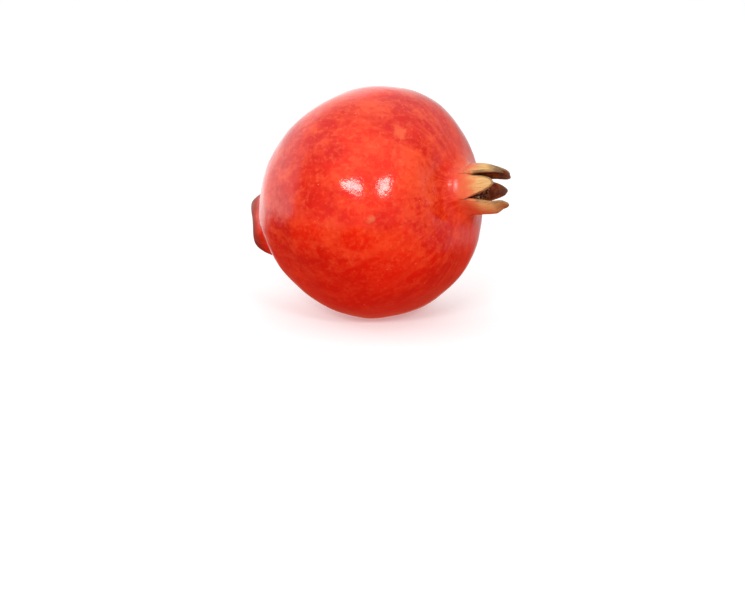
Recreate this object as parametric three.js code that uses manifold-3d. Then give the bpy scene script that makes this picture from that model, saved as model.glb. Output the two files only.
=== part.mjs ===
// A whole pomegranate as picked, lying on its side on a small flat spot.
// Millimetres, +Z up. The origin is the middle of the flat spot, and the crown points along +X, a little raised.
// Three solids: the rind with its crown of sepals, the dry stamens inside the crown, and the woody stem stub.
import * as THREE from "three";
import { mergeVertices } from "three/addons/utils/BufferGeometryUtils.js";
import Module from "manifold-3d";

const wasm = await Module();
wasm.setup();

// Driving dimensions of the rind, along and around the fruit's own axis
const BELLY_RADIUS = 45.6; // half the widest diameter
const STEM_HALF = 43.5; // from the widest ring to the stem end, without the boss
const CROWN_HALF = 44.4; // from the widest ring to where the crown end would close
const STEM_TAPER = 1.07; // above 1 makes the stem half a little conical
const CROWN_LIFT = 12.5; // degrees that the crown end is raised above level
const REST_SPOT_DEPTH = 0.9; // what the flat spot takes off the lowest point

// Soft corners and hollows that keep the rind from being round
const RIDGES = 6;
const RIDGE_SIZE = 0.011; // shares of the local radius
const RIDGE_TURN = 24; // degrees
const OVAL_SIZE = 0.006;
const OVAL_TURN = 20;
const THREE_LOBE_SIZE = 0.009;
const THREE_LOBE_TURN = 70;
// Each swelling or hollow: degrees from the stem end, degrees round from the top, height in mm, spread in degrees
const SWELLINGS = [
  { from: 66, round: -8, height: -4.2, spread: 32 },
  { from: 88, round: -8, height: 2, spread: 21 },
  { from: 128, round: -10, height: 2.2, spread: 24 },
  { from: 40, round: 172, height: -2.9, spread: 26 },
  { from: 80, round: 262, height: -1, spread: 30 },
  { from: 118, round: 226, height: -0.6, spread: 26 },
  { from: 60, round: 96, height: -2.5, spread: 30 },
  { from: 180, round: 0, height: -2, spread: 20 },
  { from: 165, round: 83, height: -4.6, spread: 22 },
];

// The boss round the stem, with its pit
const BOSS_HEIGHT = 5.9;
const BOSS_FACE_RADIUS = 11.9;
const BOSS_FOOT_RADIUS = 15.8;
const BOSS_WAVE = 0.29; // share by which its face dips and rises, four times round it
const BOSS_TURN = 78; // degrees round from the top to one of the dips
const PIT_DEPTH = 4;
const PIT_RADIUS = 5.4;
const STEM_SLIDE_DOWN = 2.6; // how far the stem end lies below the axis
const STEM_SLIDE_NEAR = 3; // and towards -Y of it

// The neck, the cup inside it and the sepals
const NECK_FOOT_RADIUS = 18; // where the neck leaves the belly
const NECK_RADIUS = 9.7;
const NECK_TOP = 44.3; // along the axis, where the neck runs straight
const SLIT_FOOT = 44.6; // along the axis, where the slits between sepals start
const SEPAL_LENGTH = 14.6;
const SEPAL_ROOT_THICKNESS = 2;
const SEPAL_TIP_THICKNESS = 1.1;
const CUP_FLOOR = 35.6;
const CUP_FLOOR_RADIUS = 6.6;
const CROWN_LEAN = -1.5; // degrees that the crown droops from the fruit's axis
// Each sepal: share of the full length; then in mm how far it spreads outwards, leans in, curls at its tip and leans
// sideways; and its fullness, which keeps it wide for longer
const SEPALS = [
  { length: 0.98, out: 0.5, lean: -4, curl: -0.2, side: 0.2, fullness: 2.8 },
  { length: 0.81, out: 0.5, lean: -3.2, curl: 0, side: -0.9, fullness: 2.9 },
  { length: 1.1, out: 2.7, lean: -1.6, curl: -2.1, side: 0.9, fullness: 3.4 },
  { length: 0.87, out: 0.5, lean: -2, curl: 0.2, side: -0.5, fullness: 2 },
  { length: 0.75, out: 0.5, lean: -3, curl: 0, side: -1.5, fullness: 2.4 },
  { length: 0.94, out: 0.5, lean: -3.5, curl: 0.2, side: -3.4, fullness: 3.8 },
];
const FIRST_SEPAL_TURN = 12.5; // degrees round from the top

// Facets: columns in each sepal, and rows in each stretch of the outline
const SEPAL_COLUMNS = 10;
const BODY_ROWS = 38;
const FILLET_ROWS = 5;
const SEPAL_ROWS = 7;
const CUP_ROWS = 5;

// The tuft of dry stamens
const STAMENS = 34;
const STAMEN_SEED = 7;
const STAMEN_THICKNESS = 0.8;
const STAMEN_HEIGHT = 10; // shortest, from the cup's floor
const STAMEN_SPREAD = 4.5; // how much longer the longest is
const ANTHER_LENGTH = 1.7;
const TUFT_BASE_RADIUS = 5.4;
const TUFT_BASE_HEIGHT = 2.2;
const GAP = 0.3; // kept between two solids that touch on the real fruit

// The stem stub
const STUB_RADIUS = 2.5;
const STUB_LENGTH = 5.2;

const radians = THREE.MathUtils.degToRad;
const smooth = (x, low, high) => THREE.MathUtils.smoothstep(x, low, high);

// How far apart two directions on the belly are, each given by its angle from the stem end and round the axis
function directionAngle(from, round, otherFrom, otherRound) {
  const across = Math.sin(from) * Math.sin(otherFrom) * Math.cos(round - otherRound);
  return Math.acos(THREE.MathUtils.clamp(Math.cos(from) * Math.cos(otherFrom) + across, -1, 1));
}

// What the ridges, lobes and swellings add to the belly's radius at one direction, in mm
function unevenness(from, round) {
  const girth = Math.sin(from) ** 2;
  const ridge = RIDGE_SIZE * Math.cos(RIDGES * (round - radians(RIDGE_TURN)));
  const oval = OVAL_SIZE * Math.cos(2 * (round - radians(OVAL_TURN)));
  const lobes = THREE_LOBE_SIZE * Math.cos(3 * (round - radians(THREE_LOBE_TURN)));
  let added = BELLY_RADIUS * girth * (ridge + oval + lobes);
  for (const s of SWELLINGS) {
    const away = directionAngle(from, round, radians(s.from), radians(s.round)) / radians(s.spread);
    added += s.height * Math.exp(-away * away);
  }
  return added;
}

// A point of the belly before the boss is raised: its distance from the axis and its place along it
function bellyPoint(from, round) {
  const half = from < Math.PI / 2 ? STEM_HALF : CROWN_HALF;
  const taper = from < Math.PI / 2 ? STEM_TAPER : 1;
  const radius = BELLY_RADIUS * Math.sin(from) ** taper;
  const along = -half * Math.cos(from);
  const size = Math.hypot(radius, along);
  const grown = (size + unevenness(from, round)) / size;
  return { radius: radius * grown, along: along * grown };
}

// The boss and its pit, as a shift along the axis
function bossShift(radius, round) {
  const wave = BOSS_WAVE * Math.cos(4 * (round - radians(BOSS_TURN))) * smooth(radius, 0, BOSS_FACE_RADIUS);
  const boss = BOSS_HEIGHT * (1 - wave) * (1 - smooth(radius, BOSS_FACE_RADIUS, BOSS_FOOT_RADIUS));
  const pit = PIT_DEPTH * (1 - smooth(radius, 0.35 * PIT_RADIUS, PIT_RADIUS));
  return pit - boss;
}

// The outer skin from the stem end up to the foot of the neck
const neckFootAngle = Math.PI - Math.asin(NECK_FOOT_RADIUS / BELLY_RADIUS);
function bodyPoint(share, round) {
  const eased = 0.72 * share + 0.28 * share * share; // rows lie closer together at the boss
  const from = neckFootAngle * eased;
  const p = bellyPoint(from, round);
  if (from < Math.PI / 3) p.along += bossShift(p.radius, round);
  return p;
}

// The hollow curve from the belly into the neck: a quadratic curve that leaves along the belly and ends along the axis
function filletPoint(share, round) {
  const start = bellyPoint(neckFootAngle, round);
  const before = bellyPoint(neckFootAngle - 0.02, round);
  const slope = (start.along - before.along) / (start.radius - before.radius);
  const middle = { radius: NECK_RADIUS, along: start.along + slope * (NECK_RADIUS - start.radius) };
  const end = { radius: NECK_RADIUS, along: NECK_TOP };
  const [a, b, c] = [(1 - share) ** 2, 2 * share * (1 - share), share * share];
  return {
    radius: a * start.radius + b * middle.radius + c * end.radius,
    along: a * start.along + b * middle.along + c * end.along,
  };
}

// A sepal's free height at a place across it, from -1 at one slit to 1 at the other
function sepalHeight(across, sepal) {
  return SEPAL_LENGTH * sepal.length * (1 - Math.abs(across) ** sepal.fullness) ** 0.92;
}

// A point on a sepal's outer or inner face; inward is 0 on the outer face and 1 on the inner one
function sepalPoint(across, share, sepal, inward) {
  const height = share * sepalHeight(across, sepal);
  const up = height / SEPAL_LENGTH;
  const thickness = THREE.MathUtils.lerp(SEPAL_ROOT_THICKNESS, SEPAL_TIP_THICKNESS, up);
  const lean = sepal.out * up + sepal.lean * up ** 2.4 + sepal.curl * smooth(up, 0.7, 1);
  return {
    radius: NECK_RADIUS + lean - inward * thickness,
    along: SLIT_FOOT + height,
    side: sepal.side * up * up,
  };
}

// The cup's wall and floor, from the slits down to the axis
function cupPoint(share) {
  const top = NECK_RADIUS - SEPAL_ROOT_THICKNESS;
  const wall = Math.min(1, share / 0.6);
  const floor = Math.max(0, (share - 0.6) / 0.4);
  const radius = THREE.MathUtils.lerp(top, CUP_FLOOR_RADIUS, wall) * (1 - floor);
  return { radius, along: THREE.MathUtils.lerp(SLIT_FOOT, CUP_FLOOR, Math.sin((wall * Math.PI) / 2)) };
}

// The whole outline at one column, from the stem end over the sepal and down into the cup
function outline(column) {
  const sepalIndex = Math.floor(column / SEPAL_COLUMNS);
  const across = (2 * (column % SEPAL_COLUMNS)) / SEPAL_COLUMNS - 1;
  const sepal = SEPALS[sepalIndex];
  const width = (2 * Math.PI) / RIDGES;
  const middle = radians(FIRST_SEPAL_TURN) + sepalIndex * width;
  const round = middle + (across * width) / 2;
  const points = [];
  for (let i = 0; i < BODY_ROWS; i++) points.push(bodyPoint(i / BODY_ROWS, round));
  for (let i = 0; i < FILLET_ROWS; i++) points.push(filletPoint(i / FILLET_ROWS, round));
  points.push({ radius: NECK_RADIUS, along: NECK_TOP });
  for (let i = 0; i <= SEPAL_ROWS; i++) points.push(sepalPoint(across, i / SEPAL_ROWS, sepal, 0));
  for (let i = SEPAL_ROWS; i >= 0; i--) points.push(sepalPoint(across, i / SEPAL_ROWS, sepal, 1));
  for (let i = 1; i <= CUP_ROWS; i++) points.push(cupPoint(i / CUP_ROWS));
  return { points, round };
}

// Leans the crown as a whole, growing from nothing at the foot of the neck
function leanCrown(v) {
  const share = smooth(v.z, CROWN_HALF - 6, SLIT_FOOT);
  const pivot = CROWN_HALF - 6;
  const turn = radians(CROWN_LEAN) * share;
  const height = v.z - pivot;
  if (height <= 0) return v;
  const x = v.x * Math.cos(turn) + height * Math.sin(turn);
  const z = height * Math.cos(turn) - v.x * Math.sin(turn);
  return v.set(x, v.y, pivot + z);
}

// Slides the stem end down and off the axis, growing from nothing part way down the stem half
function slideStem(v) {
  const share = smooth(-v.z, 0.35 * STEM_HALF, STEM_HALF);
  v.x -= STEM_SLIDE_DOWN * share;
  v.y += STEM_SLIDE_NEAR * share;
  return v;
}

// Fruit frame: z along the axis to the crown, x towards the top, y towards -Y of the part
function fruitVector(p, round) {
  const v = new THREE.Vector3(p.radius * Math.cos(round), p.radius * Math.sin(round), p.along);
  const side = p.side ?? 0;
  v.x += -side * Math.sin(round);
  v.y += side * Math.cos(round);
  return slideStem(leanCrown(v));
}

// A closed skin over all the columns, with one point at each end of the axis
function rindGeometry() {
  const columns = SEPALS.length * SEPAL_COLUMNS;
  const rings = [];
  for (let c = 0; c < columns; c++) {
    const { points, round } = outline(c);
    rings.push(points.map((p) => fruitVector(p, round)));
  }
  const rows = rings[0].length;
  for (const end of [0, rows - 1]) for (const ring of rings) ring[end].copy(rings[0][end]);
  const corners = [];
  for (let c = 0; c < columns; c++) {
    const here = rings[c];
    const next = rings[(c + 1) % columns];
    for (let r = 0; r + 1 < rows; r++) {
      corners.push(here[r], next[r + 1], here[r + 1]);
      corners.push(here[r], next[r], next[r + 1]);
    }
  }
  return new THREE.BufferGeometry().setFromPoints(corners);
}

// A solid from a closed geometry, without its collapsed triangles
function solidOf(geometry, matrix = new THREE.Matrix4()) {
  const bare = geometry.index ? geometry.toNonIndexed() : geometry.clone();
  bare.deleteAttribute("normal");
  bare.deleteAttribute("uv");
  const merged = mergeVertices(bare.applyMatrix4(matrix), 1e-4);
  const kept = [];
  const index = merged.index.array;
  for (let i = 0; i < index.length; i += 3) {
    const [a, b, c] = index.slice(i, i + 3);
    if (a !== b && b !== c && c !== a) kept.push(a, b, c);
  }
  const vertProperties = merged.attributes.position.array;
  return new wasm.Manifold(new wasm.Mesh({ numProp: 3, vertProperties, triVerts: new Uint32Array(kept) }));
}

// A three.js geometry from a solid
function geometryOf(solid) {
  const mesh = solid.getMesh();
  const geometry = new THREE.BufferGeometry();
  geometry.setAttribute("position", new THREE.BufferAttribute(mesh.vertProperties, 3));
  geometry.setIndex(new THREE.BufferAttribute(mesh.triVerts, 1));
  geometry.computeVertexNormals();
  return geometry;
}

// Moves every point of a geometry by leanCrown or slideStem
function bend(geometry, move) {
  const position = geometry.attributes.position;
  for (let i = 0; i < position.count; i++) {
    const v = move(new THREE.Vector3().fromBufferAttribute(position, i));
    position.setXYZ(i, v.x, v.y, v.z);
  }
  return geometry;
}

// Numbers from 0 to 1 that are the same every time
function seededRandom(seed) {
  let state = seed;
  return () => {
    state = (state * 1664525 + 1013904223) % 4294967296;
    return state / 4294967296;
  };
}

// One dry stamen from its root: a bent three-sided thread, and an anther at its tip
function stamenSolid(root, tip) {
  const across = new THREE.Vector3().subVectors(tip, root);
  const thread = new THREE.CylinderGeometry(0.35 * STAMEN_THICKNESS, 0.6 * STAMEN_THICKNESS, across.length(), 3);
  const turn = new THREE.Quaternion().setFromUnitVectors(new THREE.Vector3(0, 1, 0), across.clone().normalize());
  const middle = new THREE.Vector3().addVectors(root, tip).multiplyScalar(0.5);
  const one = new THREE.Vector3(1, 1, 1);
  const threadSolid = solidOf(thread, new THREE.Matrix4().compose(middle, turn, one));
  const anther = new THREE.OctahedronGeometry(0.5 * ANTHER_LENGTH);
  const antherShape = new THREE.Vector3(0.55, 1, 0.55);
  return threadSolid.add(solidOf(anther, new THREE.Matrix4().compose(tip, turn, antherShape)));
}

// The tuft: stamens rooted all over a low dome that fills the cup's floor
function tuftGeometry() {
  const random = seededRandom(STAMEN_SEED);
  const foot = CUP_FLOOR + GAP;
  const top = foot + TUFT_BASE_HEIGHT;
  const dome = [
    new THREE.Vector2(0, foot),
    new THREE.Vector2(TUFT_BASE_RADIUS - 0.4, foot),
    new THREE.Vector2(TUFT_BASE_RADIUS, foot + 0.6),
    new THREE.Vector2(TUFT_BASE_RADIUS - 1, top - 0.6),
    new THREE.Vector2(0, top),
  ];
  const upright = new THREE.Matrix4().makeRotationX(Math.PI / 2);
  let tuft = solidOf(new THREE.LatheGeometry(dome, 18), upright);
  const golden = Math.PI * (3 - Math.sqrt(5));
  for (let i = 0; i < STAMENS; i++) {
    const out = Math.sqrt((i + 0.5) / STAMENS);
    const round = i * golden;
    const rootRadius = (TUFT_BASE_RADIUS - 1.4) * out;
    const tipRadius = rootRadius + (0.9 * random() - 0.2) * out;
    const tipRound = round + 0.5 * (random() - 0.5);
    const height = STAMEN_HEIGHT + STAMEN_SPREAD * random() - 1.2 * out;
    const root = new THREE.Vector3(rootRadius * Math.cos(round), rootRadius * Math.sin(round), foot + 0.8);
    const tip = new THREE.Vector3(tipRadius * Math.cos(tipRound), tipRadius * Math.sin(tipRound), foot + height);
    tuft = tuft.add(stamenSolid(root, tip));
  }
  return bend(geometryOf(tuft), leanCrown);
}

// The stub: a short woody round with a swollen foot, standing in the pit of the boss
function stubGeometry() {
  const foot = bellyPoint(0, 0).along + bossShift(0, 0) - GAP;
  const profile = [
    new THREE.Vector2(0, foot),
    new THREE.Vector2(STUB_RADIUS * 0.6, foot - 0.1),
    new THREE.Vector2(STUB_RADIUS * 0.82, foot - 1.6),
    new THREE.Vector2(STUB_RADIUS * 0.95, foot - 2.8),
    new THREE.Vector2(STUB_RADIUS, foot - STUB_LENGTH + 0.5),
    new THREE.Vector2(STUB_RADIUS * 0.86, foot - STUB_LENGTH),
    new THREE.Vector2(0, foot - STUB_LENGTH + 0.2),
  ].reverse();
  const upright = new THREE.Matrix4().makeRotationX(Math.PI / 2);
  return bend(geometryOf(solidOf(new THREE.LatheGeometry(profile, 14), upright)), slideStem);
}

// The lean of the whole fruit, and the lift that puts its flat spot on the ground at the origin
function placeFruit(rind) {
  const lift = radians(CROWN_LIFT);
  const top = new THREE.Vector3(-Math.sin(lift), 0, Math.cos(lift));
  const near = new THREE.Vector3(0, -1, 0);
  const crown = new THREE.Vector3(Math.cos(lift), 0, Math.sin(lift));
  const toPart = new THREE.Matrix4().makeBasis(top, near, crown);
  const v = new THREE.Vector3();
  const lowest = new THREE.Vector3(0, 0, Infinity);
  const position = rind.attributes.position;
  for (let i = 0; i < position.count; i++) {
    v.fromBufferAttribute(position, i).applyMatrix4(toPart);
    if (v.z < lowest.z) lowest.copy(v);
  }
  const settle = new THREE.Matrix4().makeTranslation(-lowest.x, -lowest.y, -lowest.z - REST_SPOT_DEPTH);
  return settle.multiply(toPart);
}

const rindShape = rindGeometry();
const place = placeFruit(rindShape);
const underGround = new THREE.Matrix4().makeTranslation(0, 0, -10);
const ground = solidOf(new THREE.BoxGeometry(100, 100, 20), underGround);
const rind = solidOf(rindShape, place).subtract(ground);

const rindLook = new THREE.MeshStandardMaterial({ color: 0xd8321f, roughness: 0.32, metalness: 0 });
const stamenLook = new THREE.MeshStandardMaterial({ color: 0x7a4a22, roughness: 0.8, metalness: 0 });
const stubLook = new THREE.MeshStandardMaterial({ color: 0x6b5138, roughness: 0.85, metalness: 0 });

const pomegranate = new THREE.Group();

const rindMesh = new THREE.Mesh(geometryOf(rind), rindLook);
rindMesh.name = "rind_with_crown";
pomegranate.add(rindMesh);

const insides = new THREE.Group();
insides.applyMatrix4(place);
pomegranate.add(insides);

const stamens = new THREE.Mesh(tuftGeometry(), stamenLook);
stamens.name = "stamens";
insides.add(stamens);

const stub = new THREE.Mesh(stubGeometry(), stubLook);
stub.name = "stem_stub";
insides.add(stub);

export default pomegranate;
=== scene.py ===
import math
import random

import bmesh
import bpy
from mathutils import Matrix, Vector, noise


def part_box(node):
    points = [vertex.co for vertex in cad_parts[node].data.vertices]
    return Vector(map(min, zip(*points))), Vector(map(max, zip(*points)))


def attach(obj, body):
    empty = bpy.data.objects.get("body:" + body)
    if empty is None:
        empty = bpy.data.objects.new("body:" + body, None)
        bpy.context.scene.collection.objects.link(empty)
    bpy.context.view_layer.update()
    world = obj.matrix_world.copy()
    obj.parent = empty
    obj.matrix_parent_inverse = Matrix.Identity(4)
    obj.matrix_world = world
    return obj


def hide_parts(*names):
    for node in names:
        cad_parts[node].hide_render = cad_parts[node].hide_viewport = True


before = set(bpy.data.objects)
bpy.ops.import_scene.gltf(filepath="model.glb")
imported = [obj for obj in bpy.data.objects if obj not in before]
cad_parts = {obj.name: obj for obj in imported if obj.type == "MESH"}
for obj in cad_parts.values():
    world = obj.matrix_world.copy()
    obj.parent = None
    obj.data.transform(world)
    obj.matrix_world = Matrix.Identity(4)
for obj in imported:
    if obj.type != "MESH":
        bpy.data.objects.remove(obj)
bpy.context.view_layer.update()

mm = 0.001  # the dictionaries give lengths in mm and angles in degrees


def smooth(x, low, high):
    share = min(1, max(0, (x - low) / (high - low)))
    return share * share * (3 - 2 * share)


def between(a, b, share):
    return a + (b - a) * share


def paint(red, green, blue):  # a colour as a screen shows it, 0 to 255, for a shader socket
    def linear(part):
        part /= 255
        return part / 12.92 if part < 0.04 else ((part + 0.055) / 1.055) ** 2.4

    return (linear(red), linear(green), linear(blue), 1)


# Shader maths: arithmetic on Values adds Math nodes, and Look.node makes every other node
class Value:
    def __init__(self, look, socket):
        self.look = look
        self.socket = socket

    def __add__(self, other):
        return self.look.maths("ADD", self, other)

    def __sub__(self, other):
        return self.look.maths("SUBTRACT", self, other)

    def __rsub__(self, other):
        return self.look.maths("SUBTRACT", other, self)

    def __mul__(self, other):
        return self.look.maths("MULTIPLY", self, other)

    __radd__ = __add__
    __rmul__ = __mul__


class Look:
    def __init__(self, owner):  # a new material or world
        self.owner = owner
        owner.use_nodes = True
        self.tree = owner.node_tree
        self.tree.nodes.clear()

    def node(self, kind, settings=None, inputs=None, output=0):
        made = self.tree.nodes.new("ShaderNode" + kind)
        for name, setting in (settings or {}).items():
            setattr(made, name, setting)
        for name, value in (inputs or {}).items():
            if isinstance(value, Value):
                self.tree.links.new(value.socket, made.inputs[name])
            else:
                made.inputs[name].default_value = value
        return Value(self, made.outputs[output])

    def maths(self, operation, first, second):
        return self.node("Math", {"operation": operation}, {0: first, 1: second})

    def ramp(self, value, low, high):  # 0 below low, 1 above high, smooth between
        ends = {"Value": value, "From Min": low, "From Max": high}
        return self.node("MapRange", {"interpolation_type": "SMOOTHSTEP"}, ends)

    def mix(self, share, under, over):  # colours
        return self.node("Mix", {"data_type": "RGBA"}, {0: share, 6: under, 7: over}, 2)

    def noise(self, place, size, detail=2.0, roughness=0.5):  # size is the width of one patch in mm
        grain = {"Scale": 1 / (size * mm), "Detail": detail, "Roughness": roughness}
        return self.node("TexNoise", None, {"Vector": place, **grain})

    def spots(self, place, apart, size, kept):  # round spots in mm, of which only the share kept shows
        cells = {"Vector": place, "Scale": 1 / (apart * mm)}
        distance = self.node("TexVoronoi", {"feature": "F1"}, cells)
        cellColour = self.node("TexVoronoi", {"feature": "F1"}, cells, 1)
        tone = self.node("SeparateColor", None, {"Color": cellColour})
        dot = 1 - self.ramp(distance, 0.6 * size / apart, 1.2 * size / apart)
        return dot * self.maths("LESS_THAN", tone, kept)

    def vectors(self, operation, first, second, output=0):
        return self.node("VectorMath", {"operation": operation}, {0: first, 1: second}, output)

    def upwards(self, place):  # the third part of a vector
        return self.node("SeparateXYZ", None, {"Vector": place}, 2)

    def bump(self, height, strength, depth):  # depth in mm
        return self.node("Bump", None, {"Height": height, "Strength": strength, "Distance": depth * mm})

    def attribute(self, name):
        return self.node("Attribute", {"attribute_name": name}, None, 2)

    def finish(self, shader, kind="OutputMaterial"):
        end = self.tree.nodes.new("ShaderNode" + kind)
        self.tree.links.new(shader.socket, end.inputs["Surface"])
        return self.owner


def newPiece(name, shape, look, node):
    mesh = bpy.data.meshes.new(name)
    shape.to_mesh(mesh)
    shape.free()
    for face in mesh.polygons:
        face.use_smooth = True
    piece = bpy.data.objects.new(name, mesh)
    bpy.context.collection.objects.link(piece)
    mesh.materials.append(look)
    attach(piece, "root")
    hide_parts(node)


# The rind's form. In the fruit's own frame z runs to the crown, x upwards and y to the near side
rind = {
    "bellyRadius": 45.6,
    "stemHalf": 43.5,
    "crownHalf": 44.4,
    "stemTaper": 1.07,
    "crownLift": 12.5,
    "ridges": 6,
    "ridgeSize": 0.011,  # this and the next two are shares of the belly's radius
    "ovalSize": 0.006,
    "threeLobeSize": 0.009,
    "ridgeTurn": 24,
    "ovalTurn": 20,
    "threeLobeTurn": 70,
    "swellings": [  # angle from the stem end, turn from the top, height, spread
        (66, -8, -4.2, 32),
        (88, -8, 2, 21),
        (128, -10, 2.2, 24),
        (40, 172, -2.9, 26),
        (80, 262, -1, 30),
        (118, 226, -0.6, 26),
        (60, 96, -2.5, 30),
        (180, 0, -2, 20),
        (165, 83, -4.6, 22),
    ],
    "dentDepth": 0.35,
    "dentWidth": 11,
    "dimpleDepth": 0.06,
    "dimpleWidth": 3,
    "bossHeight": 5.8,
    "bossFace": 11.9,
    "bossFoot": 15.8,
    "bossWave": 0.17,  # share by which its face dips and rises round it
    "bossDips": 4,
    "bossTurn": 73,
    "pitDepth": 4,
    "pitRadius": 5.4,
    "pitFloor": 0.35,  # share of its radius that is flat
    "stemDown": 2.6,  # how far the stem end slides off the axis
    "stemNear": 3,
    "neckFoot": 18,  # its radius where the neck leaves the belly
    "neckRadius": 9.7,
    "neckTop": 44.3,
    "neckGroove": 0.35,  # how deep the neck is creased below each slit
    "neckFlat": 0.8,  # 0 for a round neck, 1 for six flat sides
    "slitFoot": 44.6,
    "sepalLength": 14.6,
    "sepalRoot": 2,  # thickness
    "sepalTip": 1.1,
    "edgeWave": 0.05,
    "marginWidth": 0.9,  # of the dry rim that the material shows
    "cupping": 0.5,
    "leanBend": 2.4,  # the higher, the nearer the tip a sepal bends
    "cupFloor": 35.6,
    "cupFloorRadius": 6.6,
    "crownLean": -1.5,
    "leanStart": 6,  # how far below the crown end the lean starts
    "firstSepal": 12.5,
    # length is a share of the full one; out, lean, curl and side are in mm at the tip; fullness makes the tip
    # blunt; brown is for a dry tip
    "sepals": [
        {"length": 0.98, "out": 0.5, "lean": -4, "curl": -0.2, "side": 0.2, "fullness": 2.8, "brown": 1},
        {"length": 0.81, "out": 0.5, "lean": -3.2, "curl": 0, "side": -0.9, "fullness": 2.9, "brown": 0.1},
        {"length": 1.1, "out": 2.7, "lean": -1.6, "curl": -1.9, "side": 0.9, "fullness": 3.4, "brown": 0.5},
        {"length": 0.87, "out": 0.5, "lean": -2, "curl": 0.2, "side": -0.5, "fullness": 2, "brown": 0.6},
        {"length": 0.75, "out": 0.5, "lean": -3, "curl": 0, "side": -1.5, "fullness": 2.2, "brown": 0.9},
        {"length": 0.89, "out": 0.5, "lean": -3.3, "curl": 0.4, "side": -3.6, "fullness": 3.8, "brown": 0.8},
    ],
    "sepalColumns": 40,
    "rows": {"body": 124, "fillet": 18, "outer": 26, "rim": 6, "inner": 20, "cup": 14},
}
turnNames = ("ridgeTurn", "ovalTurn", "threeLobeTurn", "bossTurn", "firstSepal")
turns = {name: math.radians(rind[name]) for name in turnNames}
swellings = [
    (math.radians(fromStem), math.radians(turn), height, math.radians(spread))
    for fromStem, turn, height, spread in rind["swellings"]
]
neckFootAngle = math.pi - math.asin(rind["neckFoot"] / rind["bellyRadius"])
sepalWidth = 2 * math.pi / len(rind["sepals"])


def polar(radius, turn, along):  # a point by its distance from the axis, its turn and its place along it
    return Vector((radius * math.cos(turn), radius * math.sin(turn), along))


def direction(fromStem, turn):
    return polar(math.sin(fromStem), turn, -math.cos(fromStem))


def unevenness(fromStem, turn):
    ridge = rind["ridgeSize"] * math.cos(rind["ridges"] * (turn - turns["ridgeTurn"]))
    oval = rind["ovalSize"] * math.cos(2 * (turn - turns["ovalTurn"]))
    lobes = rind["threeLobeSize"] * math.cos(3 * (turn - turns["threeLobeTurn"]))
    added = rind["bellyRadius"] * math.sin(fromStem) ** 2 * (ridge + oval + lobes)
    here = direction(fromStem, turn)
    for otherFrom, otherTurn, height, spread in swellings:
        away = here.angle(direction(otherFrom, otherTurn)) / spread
        added += height * math.exp(-away * away)
    onSkin = here * rind["bellyRadius"]
    added += rind["dentDepth"] * noise.noise(onSkin / rind["dentWidth"])
    return added + rind["dimpleDepth"] * noise.noise(onSkin / rind["dimpleWidth"])


def bellyPoint(fromStem, turn):
    stemSide = fromStem < math.pi / 2
    half = rind["stemHalf"] if stemSide else rind["crownHalf"]
    radius = rind["bellyRadius"] * math.sin(fromStem) ** (rind["stemTaper"] if stemSide else 1)
    along = -half * math.cos(fromStem)
    size = math.hypot(radius, along)
    grown = (size + unevenness(fromStem, turn)) / size
    return radius * grown, along * grown


def bossShift(radius, turn):
    wave = rind["bossWave"] * math.cos(rind["bossDips"] * (turn - turns["bossTurn"]))
    wave *= smooth(radius, 0, rind["bossFace"])
    boss = rind["bossHeight"] * (1 - wave) * (1 - smooth(radius, rind["bossFace"], rind["bossFoot"]))
    pit = rind["pitDepth"] * (1 - smooth(radius, rind["pitFloor"] * rind["pitRadius"], rind["pitRadius"]))
    return pit - boss


def bodyPoint(share, turn):
    fromStem = neckFootAngle * between(share * share, share, 0.5)  # rows lie closer at the boss
    radius, along = bellyPoint(fromStem, turn)
    if fromStem < math.pi / 3:
        along += bossShift(radius, turn)
    return radius, along


# What flat sides and creases add to the neck's radius; across is -1 at one slit and 1 at the next
def neckShape(across):
    cornerRadius = 1.08  # of the flat-sided neck, as a share of the round one's
    flat = cornerRadius * math.cos(sepalWidth / 2) / math.cos(across * sepalWidth / 2) - 1
    return rind["neckRadius"] * rind["neckFlat"] * flat - rind["neckGroove"] * abs(across) ** 8


# The curve from the belly into the neck, which leaves each in its own direction
def filletPoint(share, turn, across):
    nudge = 0.02
    start = bellyPoint(neckFootAngle, turn)
    before = bellyPoint(neckFootAngle - nudge, turn)
    slope = (start[1] - before[1]) / (start[0] - before[0])
    middle = (rind["neckRadius"], start[1] + slope * (rind["neckRadius"] - start[0]))
    end = (rind["neckRadius"], rind["neckTop"])
    weights = ((1 - share) ** 2, 2 * share * (1 - share), share * share)
    radius, along = (sum(w * p[i] for w, p in zip(weights, (start, middle, end))) for i in (0, 1))
    return radius + neckShape(across) * smooth(share, 0.3, 1), along


def sepalHeight(across, index):
    sepal = rind["sepals"][index]
    wave = 1 + rind["edgeWave"] * noise.noise(Vector((2.6 * across, 5.3 * index, 0)))
    share = max(0, 1 - min(1, abs(across)) ** sepal["fullness"])
    return rind["sepalLength"] * sepal["length"] * wave * share ** 0.92


# How the outline runs at one column: the edge's height, and how far it faces along and across
def sepalEdge(across, index):
    nudge = 0.02
    width = rind["neckRadius"] * sepalWidth / 2
    height = sepalHeight(across, index)
    rise = (sepalHeight(across + nudge, index) - sepalHeight(across - nudge, index)) / (2 * nudge * width)
    return height, 1 / math.hypot(1, rise), -rise / math.hypot(1, rise)


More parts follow.
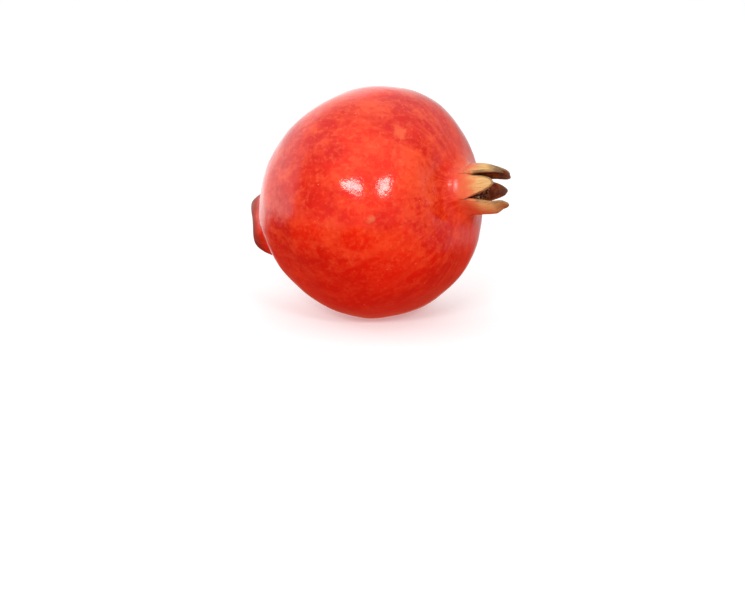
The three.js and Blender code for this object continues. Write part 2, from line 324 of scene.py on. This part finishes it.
# share runs up the sepal; inward goes from 0 on the outer face to 1 on the inner face; bulge rounds the rim
def sepalPoint(across, share, index, inward, bulge):
    sepal = rind["sepals"][index]
    height, faceAlong, faceAcross = sepalEdge(across, index)
    up = share * height / rind["sepalLength"]
    thickness = between(rind["sepalRoot"], rind["sepalTip"], min(1, up))
    pulled = 0.5 * thickness * smooth(height, 0, 4) * (1 - bulge) * share ** 3
    lean = sepal["out"] * up + sepal["lean"] * up ** rind["leanBend"] + sepal["curl"] * smooth(up, 0.7, 1)
    cupping = rind["cupping"] * up * across * across
    shaped = neckShape(across) * (1 - smooth(up, 0, 0.4)) * (1 - inward)
    radius = rind["neckRadius"] + lean - cupping + shaped - inward * thickness
    along = rind["slitFoot"] + share * height - pulled * faceAlong
    return radius, along, sepal["side"] * up * up - pulled * faceAcross


def cupPoint(share):
    wallShare = 0.6  # of the rows from the rim to the middle of the floor
    wall = min(1, share / wallShare)
    floor = max(0, (share - wallShare) / (1 - wallShare))
    radius = between(rind["neckRadius"] - rind["sepalRoot"], rind["cupFloorRadius"], wall) * (1 - floor)
    return radius, between(rind["slitFoot"], rind["cupFloor"], math.sin(wall * math.pi / 2))


def leanCrown(point):
    pivot = rind["crownHalf"] - rind["leanStart"]
    height = point.z - pivot
    if height <= 0:
        return point
    turn = math.radians(rind["crownLean"]) * smooth(point.z, pivot, rind["slitFoot"])
    x = point.x * math.cos(turn) + height * math.sin(turn)
    return Vector((x, point.y, pivot + height * math.cos(turn) - point.x * math.sin(turn)))


def slideStem(point):
    share = smooth(-point.z, 0.35 * rind["stemHalf"], rind["stemHalf"])
    return point + Vector((-rind["stemDown"] * share, rind["stemNear"] * share, 0))


def fruitPoint(radius, along, turn, side=0.0):
    x = radius * math.cos(turn) - side * math.sin(turn)
    y = radius * math.sin(turn) + side * math.cos(turn)
    return slideStem(leanCrown(Vector((x, y, along))))


# Where a row and column of the skin lie, and what the material needs to know there
def skinPoint(row, column):
    columns = rind["sepalColumns"]
    index = column // columns % len(rind["sepals"])
    across = 2 * (column % columns) / columns - 1
    turn = turns["firstSepal"] + (index + across / 2) * sepalWidth
    nearSlit = smooth(abs(across), 0.93, 1)
    rows = rind["rows"]
    for stretch, count in rows.items():
        if row < count or stretch == "cup":
            break
        row -= count
    share = row / rows[stretch]
    if stretch == "body":
        return fruitPoint(*bodyPoint(share, turn), turn), (0, 0, 0, 0, 0)
    if stretch == "fillet":
        # Painted shade runs down each slit into the top of the fillet
        paintedSlitShade = nearSlit * smooth(share, 0.78, 1)
        return fruitPoint(*filletPoint(share, turn, across), turn), (0, 0, 0, 0, paintedSlitShade)
    if stretch == "cup":
        return fruitPoint(*cupPoint(share), turn), (0, 0, 1, 0, 0)
    inward, bulge, up = 0, 0, 1
    if stretch == "outer":
        up = share
    elif stretch == "rim":
        inward = 0.5 - 0.5 * math.cos(math.pi * share)
        bulge = math.sin(math.pi * share)
    else:
        inward = 1
        up = 1 - share
    radius, along, side = sepalPoint(across, up, index, inward, bulge)
    height, faceAlong = sepalEdge(across, index)[:2]
    sepal = rind["sepals"][index]
    peak = rind["sepalLength"] * sepal["length"]
    fromEdge = (1 - up) * height * faceAlong
    margin = math.exp(-fromEdge / rind["marginWidth"]) * smooth(height, 0, 5)
    # Painted shade at the foot of each slit
    paintedSlitShade = nearSlit * (1 - smooth(height, 0, 3))
    return fruitPoint(radius, along, turn, side), (up * height / peak, margin, inward, sepal["brown"], paintedSlitShade)


def fruitTurn():
    lift = math.radians(rind["crownLift"])
    top = Vector((-math.sin(lift), 0, math.cos(lift)))
    near = Vector((0, -1, 0))
    crown = Vector((math.cos(lift), 0, math.sin(lift)))
    return Matrix((top, near, crown)).transposed()


# Spins an outline of (radius, height) points round the z axis, with each of its edges cut this many times
def spinOutline(shape, outline, cuts, columns):
    points = [shape.verts.new((radius, 0, height)) for radius, height in outline]
    edges = [shape.edges.new(pair) for pair in zip(points, points[1:])]
    if cuts:
        bmesh.ops.subdivide_edges(shape, edges=edges, cuts=cuts)
    bmesh.ops.spin(shape, geom=shape.verts[:] + shape.edges[:], cent=(0, 0, 0), axis=(0, 0, 1),
                   angle=2 * math.pi, steps=columns, use_merge=True)
    bmesh.ops.remove_doubles(shape, verts=shape.verts, dist=0.001)


# A tube with a row and a column for each point of the skin, which are then put in their places
def rindShape():
    shape = bmesh.new()
    rowCount = sum(rind["rows"].values())
    columnCount = rind["sepalColumns"] * len(rind["sepals"])
    spinOutline(shape, [(1, 0), (1, rowCount)], rowCount - 1, columnCount)
    names = ("sepalHeight", "sepalMargin", "inside", "tipBrown", "paintedSlitShade")
    layers = [shape.verts.layers.float.new(name) for name in names]
    for vert in shape.verts:
        column = round(math.atan2(vert.co.y, vert.co.x) / (2 * math.pi) * columnCount) % columnCount
        place, notes = skinPoint(round(vert.co.z), column)
        vert.co = place
        for layer, note in zip(layers, notes):
            vert[layer] = note
    bmesh.ops.remove_doubles(shape, verts=shape.verts, dist=0.005)
    bmesh.ops.recalc_face_normals(shape, faces=shape.faces)
    return shape


def meshBox(shape):
    corners = [[vert.co[i] for vert in shape.verts] for i in range(3)]
    return Vector([min(c) for c in corners]), Vector([max(c) for c in corners])


# Puts the skin where its CAD node is: middle to middle in x and y, and top to top
def placeRind(shape):
    bmesh.ops.transform(shape, matrix=(fruitTurn() * mm).to_4x4(), verts=shape.verts)
    low, high = meshBox(shape)
    cadLow, cadHigh = (Vector(corner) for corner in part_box("rind_with_crown"))
    centre = (cadLow + cadHigh - low - high) / 2
    centre.z = cadHigh.z - high.z
    bmesh.ops.translate(shape, vec=centre, verts=shape.verts)
    return centre


def cutFlatSpot(shape):
    geometry = shape.verts[:] + shape.edges[:] + shape.faces[:]
    bmesh.ops.bisect_plane(shape, geom=geometry, plane_co=(0, 0, 0), plane_no=(0, 0, 1), clear_inner=True)
    rim = [edge for edge in shape.edges if edge.is_boundary]
    bmesh.ops.contextual_create(shape, geom=rim)
    bmesh.ops.recalc_face_normals(shape, faces=shape.faces)


skin = {
    "deep": paint(212, 20, 3),
    "red": paint(238, 38, 8),
    "orange": paint(252, 88, 46),
    "fleck": paint(255, 112, 66),
    "dot": paint(255, 166, 120),
    "speck": paint(120, 34, 16),
    "scar": paint(226, 150, 96),
    "boss": paint(146, 46, 30),
    "bossEdge": paint(98, 56, 40),
    "cork": paint(162, 104, 70),
    "neck": paint(238, 90, 52),
    "salmon": paint(232, 118, 76),
    "tan": paint(230, 190, 120),
    "ochre": paint(206, 146, 82),
    "brown": paint(104, 72, 46),
    "inner": paint(124, 46, 26),
    "innerTan": paint(160, 84, 36),
    "innerBrown": paint(82, 44, 32),
    "innerTip": paint(214, 138, 92),
    "roughness": 0.14,
    "marks": [  # angle from the stem end, turn from the top, radius, colour and strength
        (99.7, 53, 5, "deep", 0.9),
        (84.6, 77, 6, "deep", 0.8),
        (140.3, 6.5, 8, "deep", 0.8),
        (157.2, 48.8, 3, "deep", 0.8),
        (121.2, 96.4, 6, "deep", 0.7),
        (91.9, 126.6, 16, "deep", 0.8),
        (119.9, 52.2, 5, "orange", 0.35),
        (145.6, 68, 10, "orange", 0.6),
        (152.1, 94.8, 6, "orange", 0.5),
        (137.6, 56, 6, "orange", 0.4),
        (88, 22, 10, "orange", 0.4),
        (112.5, 28.4, 8, "orange", 0.4),
        (124.8, 109.8, 7, "orange", 0.3),
        (130.5, 37.8, 2.6, "fleck", 0.6),
        (116.7, 91.2, 1.5, "scar", 0.45),
        (72.6, 71.7, 0.8, "scar", 0.5),
        (70.8, 78.6, 0.3, "dot", 1),
    ],
}


def rindLook(centre):
    look = Look(bpy.data.materials.new("rindSkin"))
    turn = fruitTurn().to_euler()
    place = look.node("TexCoord", None, None, 3)
    # The fruit's own frame, the place along its axis in mm, and a frame in which noise runs from end to end
    fruit = look.node("Mapping", {"vector_type": "TEXTURE"},
                      {"Vector": place, "Location": centre, "Rotation": turn})
    along = look.upwards(fruit) * (1 / mm)
    flat = look.vectors("MULTIPLY", fruit, (1, 1, 0))
    around = look.node("VectorMath", {"operation": "NORMALIZE"}, {0: flat})
    meridian = look.vectors("ADD", around, look.vectors("MULTIPLY", fruit, (0, 0, 9)))

    waver = look.noise(fruit, 3, 5, 0.6)
    dots = look.spots(fruit, 4.5, 0.22, 0.4)
    # Painted shade: 1 high on the fruit, falling to 0.35 near the floor, so the underside is drawn deeper and
    # plainer
    paintedUndersideShade = look.ramp(look.upwards(place) * (1 / mm), 14, 42) * 0.65 + 0.35
    colour = skinColour(look, fruit, meridian, dots, paintedUndersideShade)
    colour = endColours(look, colour, fruit, meridian, along, waver)
    inside = look.ramp(look.attribute("inside"), 0.3, 0.9)
    colour = sepalColours(look, colour, fruit, meridian, along, waver, inside)

    dry = look.maths("MAXIMUM", look.ramp(along, 43, 52) * 0.3, inside * 0.5)
    boss = look.ramp(0 - along, 41, 45)
    dull = look.ramp(along, 35, 42) * 0.12 + boss * 0.45
    roughness = look.noise(fruit, 2, 3) * 0.08 + dry + dull + (skin["roughness"] - 0.04)
    fibres = look.noise(meridian, 45, 3) * look.ramp(along, 47, 51)
    bark = look.noise(fruit, 1.5, 5, 0.6) * boss
    pores = look.noise(fruit, 1.1, 2) * 0.7 + look.noise(fruit, 3.4, 2) * 1.5 + dots * 0.3
    shader = look.node("BsdfPrincipled", None, {
        "Base Color": colour,
        "Roughness": roughness,
        "Normal": look.bump(pores + fibres * 4 + bark * 4, 0.5, 0.1),
        "Specular IOR Level": 0.4,
    })
    return look.finish(shader)


# Reds of the belly: broad patches, marks, mottling, streaks, flecks, stains, pale dots and dark specks. Lower
# on the fruit, painted shade makes them deeper and plainer
def skinColour(look, fruit, meridian, dots, paintedUndersideShade):
    patches = look.ramp(look.noise(fruit, 26, 4), 0.38, 0.62)
    colour = look.mix(patches * paintedUndersideShade, skin["deep"], skin["red"])
    ragged = look.noise(fruit, 2, 5, 0.7)
    for fromStem, turn, radius, paintName, strength in skin["marks"]:
        near = markShare(look, fruit, ragged, fromStem, turn, radius)
        colour = look.mix(near * strength, colour, skin[paintName])
    mottle = look.ramp(look.noise(fruit, 7, 8, 0.66), 0.45, 0.66)
    colour = look.mix(mottle * paintedUndersideShade * 0.5, colour, skin["orange"])
    streaks = look.ramp(look.noise(meridian, 100, 4, 0.55), 0.46, 0.68)
    colour = look.mix(streaks * paintedUndersideShade * 0.4, colour, skin["orange"])
    grain = look.ramp(look.noise(fruit, 1.8, 5, 0.62), 0.5, 0.68)
    colour = look.mix(grain * paintedUndersideShade * 0.3, colour, skin["fleck"])
    stain = look.ramp(look.noise(fruit, 2.8, 5, 0.62), 0.54, 0.72)
    colour = look.mix(stain * 0.4, colour, skin["deep"])
    colour = look.mix(dots * 0.6, colour, skin["dot"])
    specks = look.spots(fruit, 8.5, 0.3, 0.35)
    return look.mix(specks * 0.6, colour, skin["speck"])


# 1 in the middle of a mark, and 0 outside its ragged edge
def markShare(look, fruit, ragged, fromStem, turn, radius):
    middle = direction(math.radians(fromStem), math.radians(turn)) * rind["bellyRadius"] * mm
    distance = look.vectors("DISTANCE", fruit, middle, 1) * (1 / mm)
    return 1 - look.ramp(distance + (ragged - 0.5) * (3 * radius), 0.3 * radius, 1.5 * radius)


# The boss is browner than the belly with a corky face, and the neck more orange
def endColours(look, colour, fruit, meridian, along, waver):
    boss = look.ramp(waver * 5 - along, 43.5, 47.5)
    colour = look.mix(boss * 0.75, colour, skin["boss"])
    cracks = look.noise(fruit, 2.6, 6, 0.68) * 0.65 + look.noise(meridian, 110, 4, 0.6) * 0.35
    cork = look.mix(look.ramp(cracks, 0.42, 0.62), skin["bossEdge"], skin["cork"])
    colour = look.mix(look.ramp(waver * 8 - along, 48, 51.5) * 0.85, colour, cork)
    neck = look.ramp(along + waver * 6, 40, 48)
    return look.mix(neck * 0.6, colour, skin["neck"])


# The sepals go from salmon to tan, with brown tips and edges and painted shade down the slits between them,
# and are dark inside
def sepalColours(look, colour, fruit, meridian, along, waver, inside):
    up = look.attribute("sepalHeight")
    margin = look.attribute("sepalMargin")
    tipBrown = look.attribute("tipBrown")
    fibres = look.ramp(look.noise(meridian, 40, 4, 0.6), 0.42, 0.66)
    tan = look.mix(fibres, skin["tan"], skin["ochre"])
    colour = look.mix(look.ramp(along + waver * 7, 44, 50.5), colour, skin["salmon"])
    colour = look.mix(look.ramp(along + waver * 8, 49, 56.5) * 0.95, colour, tan)
    tip = look.ramp(up + waver * 0.5, 0.8, 1.2) * tipBrown
    edge = look.ramp(margin + waver * 0.5, 0.95, 1.35) * look.ramp(up, 0.05, 0.3)
    colour = look.mix(look.maths("MAXIMUM", tip, edge * 0.75), colour, skin["brown"])
    # Painted shade: brown drawn down the slits between the sepals
    colour = look.mix(look.attribute("paintedSlitShade") * 0.85, colour, skin["brown"])
    inner = look.mix(look.ramp(look.noise(fruit, 2.2, 4), 0.44, 0.66), skin["inner"], skin["innerTan"])
    innerTip = look.mix(tipBrown, skin["innerTip"], skin["innerBrown"])
    inner = look.mix(look.ramp(up + waver * 0.3, 0.75, 1.1), inner, innerTip)
    return look.mix(inside, colour, inner)


rindSurface = rindShape()
fruitCentre = placeRind(rindSurface)
cutFlatSpot(rindSurface)
newPiece("rindSkin", rindSurface, rindLook(fruitCentre), "rind_with_crown")
print("rind made, fruit centre", [round(c / mm, 2) for c in fruitCentre])


# Moves a shape from the fruit's own frame, in mm, to its place
def placeInFruit(shape):
    place = Matrix.Translation(fruitCentre) @ (fruitTurn() * mm).to_4x4()
    bmesh.ops.transform(shape, matrix=place, verts=shape.verts)


stamens = {
    "count": 60,
    "seed": 11,
    "threadRadius": 0.25,
    "threadSides": 6,
    "threadPieces": 7,
    "shortest": 10.5,
    "spread": 4.5,  # how much longer the longest is
    "curl": 1.3,
    "antherRadius": 0.42,
    "baseRadius": 5.4,
    "baseHeight": 2.2,
    "baseColumns": 32,
    "gap": 0.3,  # between the base and the cup's floor
    "thread": paint(176, 92, 62),
    "threadPale": paint(250, 204, 180),
    "anther": paint(160, 96, 56),
    "antherDark": paint(76, 34, 20),
}


def stamenBase(shape, foot):
    radius, height = stamens["baseRadius"], stamens["baseHeight"]
    steps = [(0, 0), (radius - 0.5, 0), (radius, 0.6), (radius - 0.4, 1.3), (radius - 1.6, 1.9), (0, height)]
    spinOutline(shape, [(reach, foot + up) for reach, up in steps], 0, stamens["baseColumns"])


# One thread from root to tip with a curl in it, and its anther
def addStamen(shape, layer, root, tip, curl):
    length = (tip - root).length
    pieces = stamens["threadPieces"]
    thread = bmesh.ops.create_cone(shape, cap_ends=True, segments=stamens["threadSides"], depth=length,
                                   radius1=stamens["threadRadius"], radius2=0.7 * stamens["threadRadius"],
                                   matrix=Matrix.Translation((0, 0, length / 2)))
    verts = set(thread["verts"])
    for cut in range(1, pieces):
        faces = {face for vert in verts for face in vert.link_faces}
        edges = {edge for vert in verts for edge in vert.link_edges}
        made = bmesh.ops.bisect_plane(shape, geom=list(verts | edges | faces), plane_no=(0, 0, 1),
                                      plane_co=(0, 0, length * cut / pieces))
        verts |= {item for item in made["geom_cut"] if isinstance(item, bmesh.types.BMVert)}
    aim = (tip - root).to_track_quat("Z", "Y")
    for vert in verts:
        share = vert.co.z / length
        vert.co = root + aim @ vert.co + curl * math.sin(1.5 * math.pi * share) * share
    end = tip + curl * math.sin(1.5 * math.pi)
    squash = Matrix.Diagonal((0.8, 1.1, 1.5, 1))
    place = Matrix.Translation(end) @ aim.to_matrix().to_4x4() @ squash
    ball = bmesh.ops.create_icosphere(shape, subdivisions=2, radius=stamens["antherRadius"], matrix=place)
    for vert in ball["verts"]:
        vert[layer] = 1


def stamenShape():
    shape = bmesh.new()
    layer = shape.verts.layers.float.new("anther")
    foot = rind["cupFloor"] + stamens["gap"]
    stamenBase(shape, foot)
    draw = random.Random(stamens["seed"])
    goldenAngle = math.pi * (3 - math.sqrt(5))
    for i in range(stamens["count"]):
        out = math.sqrt((i + 0.5) / stamens["count"])  # 0 at the middle of the base, 1 at its rim
        turn = i * goldenAngle
        rootRadius = (stamens["baseRadius"] - 1) * out
        tipRadius = rootRadius + draw.uniform(-0.6, 0.9) * out
        tipTurn = turn + draw.uniform(-0.3, 0.3)
        height = stamens["shortest"] + stamens["spread"] * draw.random() - 1.2 * out
        bend = draw.uniform(0, 2 * math.pi)
        curl = draw.uniform(0.2, 1) * stamens["curl"] * (1 - 0.6 * out)
        root = polar(rootRadius, turn, foot + 0.8)
        tip = polar(tipRadius, tipTurn, foot + height)
        addStamen(shape, layer, root, tip, polar(curl, bend, 0))
    for vert in shape.verts:
        vert.co = leanCrown(vert.co)
    placeInFruit(shape)
    bmesh.ops.recalc_face_normals(shape, faces=shape.faces)
    return shape


def stamenLook():
    look = Look(bpy.data.materials.new("dryStamens"))
    place = look.node("TexCoord", None, None, 3)
    anther = look.attribute("anther")
    tone = look.ramp(look.noise(place, 1.6, 3), 0.38, 0.66)
    thread = look.mix(tone, stamens["thread"], stamens["threadPale"])
    head = look.mix(tone, stamens["antherDark"], stamens["anther"])
    colour = look.mix(anther, thread, head)
    bump = look.bump(look.noise(place, 0.25, 3), 0.5, 0.1)
    shader = look.node("BsdfPrincipled", None, {"Base Color": colour, "Roughness": 0.75, "Normal": bump})
    return look.finish(shader)


newPiece("stamenTuft", stamenShape(), stamenLook(), "stamens")
print("stamens made")


stub = {
    "radius": 2.5,
    "length": 5.2,
    "gap": 0.3,  # between the stub and the floor of the pit
    "columns": 96,
    "barkRidges": 9,
    "barkDepth": 0.14,
    "bark": paint(104, 78, 52),
    "barkPale": paint(164, 132, 92),
    "wood": paint(206, 176, 128),
    "pith": paint(140, 104, 66),
}


def stubShape():
    shape = bmesh.new()
    layer = shape.verts.layers.float.new("cutEnd")
    foot = bellyPoint(0, 0)[1] + bossShift(0, 0) - stub["gap"]
    radius, length = stub["radius"], stub["length"]
    root = [(0, 0), (0.5, 0), (0.62, 0.15), (0.74, 0.8), (0.84, 1.6), (0.93, 2.6)]
    cut = [(0.99, -1), (1, -0.5), (0.97, -0.2), (0.9, 0), (0.6, -0.08), (0.25, -0.18), (0, -0.25)]
    steps = root + [(share, length + down) for share, down in cut]
    spinOutline(shape, [(radius * share, foot - down) for share, down in steps], 3, stub["columns"])
    for vert in shape.verts:
        reach = math.hypot(vert.co.x, vert.co.y)
        turn = math.atan2(vert.co.y, vert.co.x)
        down = foot - vert.co.z
        face = smooth(down, length - 0.3, length - 0.27)
        vert[layer] = face * (1 - smooth(reach, 0.82 * radius, 0.9 * radius))
        ridge = math.cos(stub["barkRidges"] * turn + 0.4 * down) + noise.noise(vert.co * 1.1)
        push = stub["barkDepth"] * ridge * smooth(reach, 0.3 * radius, 0.8 * radius)
        vert.co = slideStem(vert.co + polar(push, turn, 0))
    placeInFruit(shape)
    bmesh.ops.recalc_face_normals(shape, faces=shape.faces)
    return shape


def stubLook():
    look = Look(bpy.data.materials.new("stemWood"))
    place = look.node("TexCoord", None, None, 3)
    cutEnd = look.attribute("cutEnd")
    grain = look.ramp(look.noise(place, 0.7, 4, 0.65), 0.35, 0.68)
    bark = look.mix(grain, stub["bark"], stub["barkPale"])
    wood = look.mix(look.ramp(look.noise(place, 0.4, 3), 0.4, 0.65), stub["pith"], stub["wood"])
    colour = look.mix(cutEnd, bark, wood)
    bump = look.bump(look.noise(place, 0.35, 4, 0.6), 0.8, 0.2)
    shader = look.node("BsdfPrincipled", None, {"Base Color": colour, "Roughness": 0.8, "Normal": bump})
    return look.finish(shader)


newPiece("stemWood", stubShape(), stubLook(), "stem_stub")
print("stem stub made")


# The camera stands where the photograph's did, and the picture is framed as there
view = {
    "azimuth": 26.4,  # round from -Y towards +X
    "elevation": 12,
    "distance": 750,
    "pixelsPerMm": 2.543,  # at the fruit's middle
    "fruitAt": (370.5, 202.9),
    "pictureSize": (745, 600),
    "sensorWidth": 36,
}


def outwards(azimuth, elevation):  # the direction from the fruit to something at these angles
    level = math.cos(elevation)
    return Vector((math.sin(azimuth) * level, -math.cos(azimuth) * level, math.sin(elevation)))


def makeCamera():
    width, height = view["pictureSize"]
    focal = view["pixelsPerMm"] * view["distance"]
    azimuth, elevation = math.radians(view["azimuth"]), math.radians(view["elevation"])
    aside = math.atan((view["fruitAt"][0] - width / 2) / focal)
    below = math.atan((height / 2 - view["fruitAt"][1]) / focal)
    data = bpy.data.cameras.new("camera")
    data.sensor_fit = "HORIZONTAL"
    data.sensor_width = view["sensorWidth"]
    data.lens = focal * view["sensorWidth"] / width
    camera = bpy.data.objects.new("camera", data)
    camera.location = fruitCentre + outwards(azimuth, elevation) * view["distance"] * mm
    camera.rotation_euler = (math.pi / 2 - elevation - below, 0, azimuth + aside)
    bpy.context.collection.objects.link(camera)
    bpy.context.scene.camera = camera


studio = {
    "floorSize": 60,  # metres
    "floorColour": (0.82, 0.82, 0.82, 1),
    "floorGlow": 0.3,  # keeps the floor white out to the picture's edges
    # how bright the room is on each side of the fruit
    "front": 0.5,
    "beside": 0.3,
    "backLeft": 1.5,
    "backRight": 0.65,
    "above": 0.85,
    "below": 0.7,
    "belowColour": (1, 0.16, 0.09, 1),
    # angles from the camera's line, distance, width and height in metres, and brightness
    "softLeft": {"aside": -17, "above": 17, "away": 1.5, "size": (0.56, 0.24), "power": 8.5},
    "softRight": {"aside": 23, "above": 17, "away": 1.5, "size": (0.34, 0.26), "power": 5.6},
}


def makeLight(name):
    values = studio[name]
    data = bpy.data.lights.new(name, "AREA")
    data.shape = "RECTANGLE"
    data.size, data.size_y = values["size"]
    data.energy = values["power"]
    light = bpy.data.objects.new(name, data)
    azimuth = math.radians(view["azimuth"] + values["aside"])
    elevation = math.radians(view["elevation"] + values["above"])
    away = outwards(azimuth, elevation)
    light.location = fruitCentre + away * values["away"]
    light.rotation_euler = away.to_track_quat("Z", "Y").to_euler()
    bpy.context.collection.objects.link(light)


def makeFloor():
    shape = bmesh.new()
    bmesh.ops.create_grid(shape, x_segments=1, y_segments=1, size=studio["floorSize"] / 2)
    mesh = bpy.data.meshes.new("floor")
    shape.to_mesh(mesh)
    shape.free()
    floor = bpy.data.objects.new("floor", mesh)
    bpy.context.collection.objects.link(floor)
    look = Look(bpy.data.materials.new("floor"))
    shader = look.node("BsdfPrincipled", None, {
        "Base Color": studio["floorColour"],
        "Roughness": 0.9,
        "Specular IOR Level": 0.1,
        "Emission Color": (1, 1, 1, 1),
        "Emission Strength": studio["floorGlow"],
    })
    mesh.materials.append(look.finish(shader))
    floor.visible_diffuse = False  # the fruit is lit and mirrored by the room alone
    floor.visible_glossy = False


# A pale room, brightest behind the fruit, and red below it
def makeWorld():
    look = Look(bpy.data.worlds.new("room"))
    ray = look.node("TexCoord", None, None, 0)
    azimuth = math.radians(view["azimuth"])
    behind, right = -outwards(azimuth, 0), outwards(azimuth + math.pi / 2, 0)
    away = look.vectors("DOT_PRODUCT", ray, behind, 1)
    aside = look.vectors("DOT_PRODUCT", ray, right, 1)
    height = look.upwards(ray)

    def blend(share, first, second):
        return first + share * (second - first)

    back = blend(look.ramp(aside, -0.6, 0.6), studio["backLeft"], studio["backRight"])
    front = blend(look.ramp(away, -0.9, -0.3), studio["front"], studio["beside"])
    level = blend(look.ramp(away, -0.05, 0.2), front, back)
    upper = blend(look.ramp(height, 0.35, 0.9), level, studio["above"])
    clear = look.ramp(height, -0.44, -0.2)
    strength = blend(clear, studio["below"], upper)
    colour = look.mix(clear, studio["belowColour"], (1, 1, 1, 1))
    look.finish(look.node("Background", None, {"Color": colour, "Strength": strength}), "OutputWorld")
    bpy.context.scene.world = look.owner


makeCamera()
makeFloor()
makeWorld()
for name in ("softLeft", "softRight"):
    makeLight(name)
bpy.context.scene.view_settings.view_transform = "Standard"
print("camera, floor and lights made")
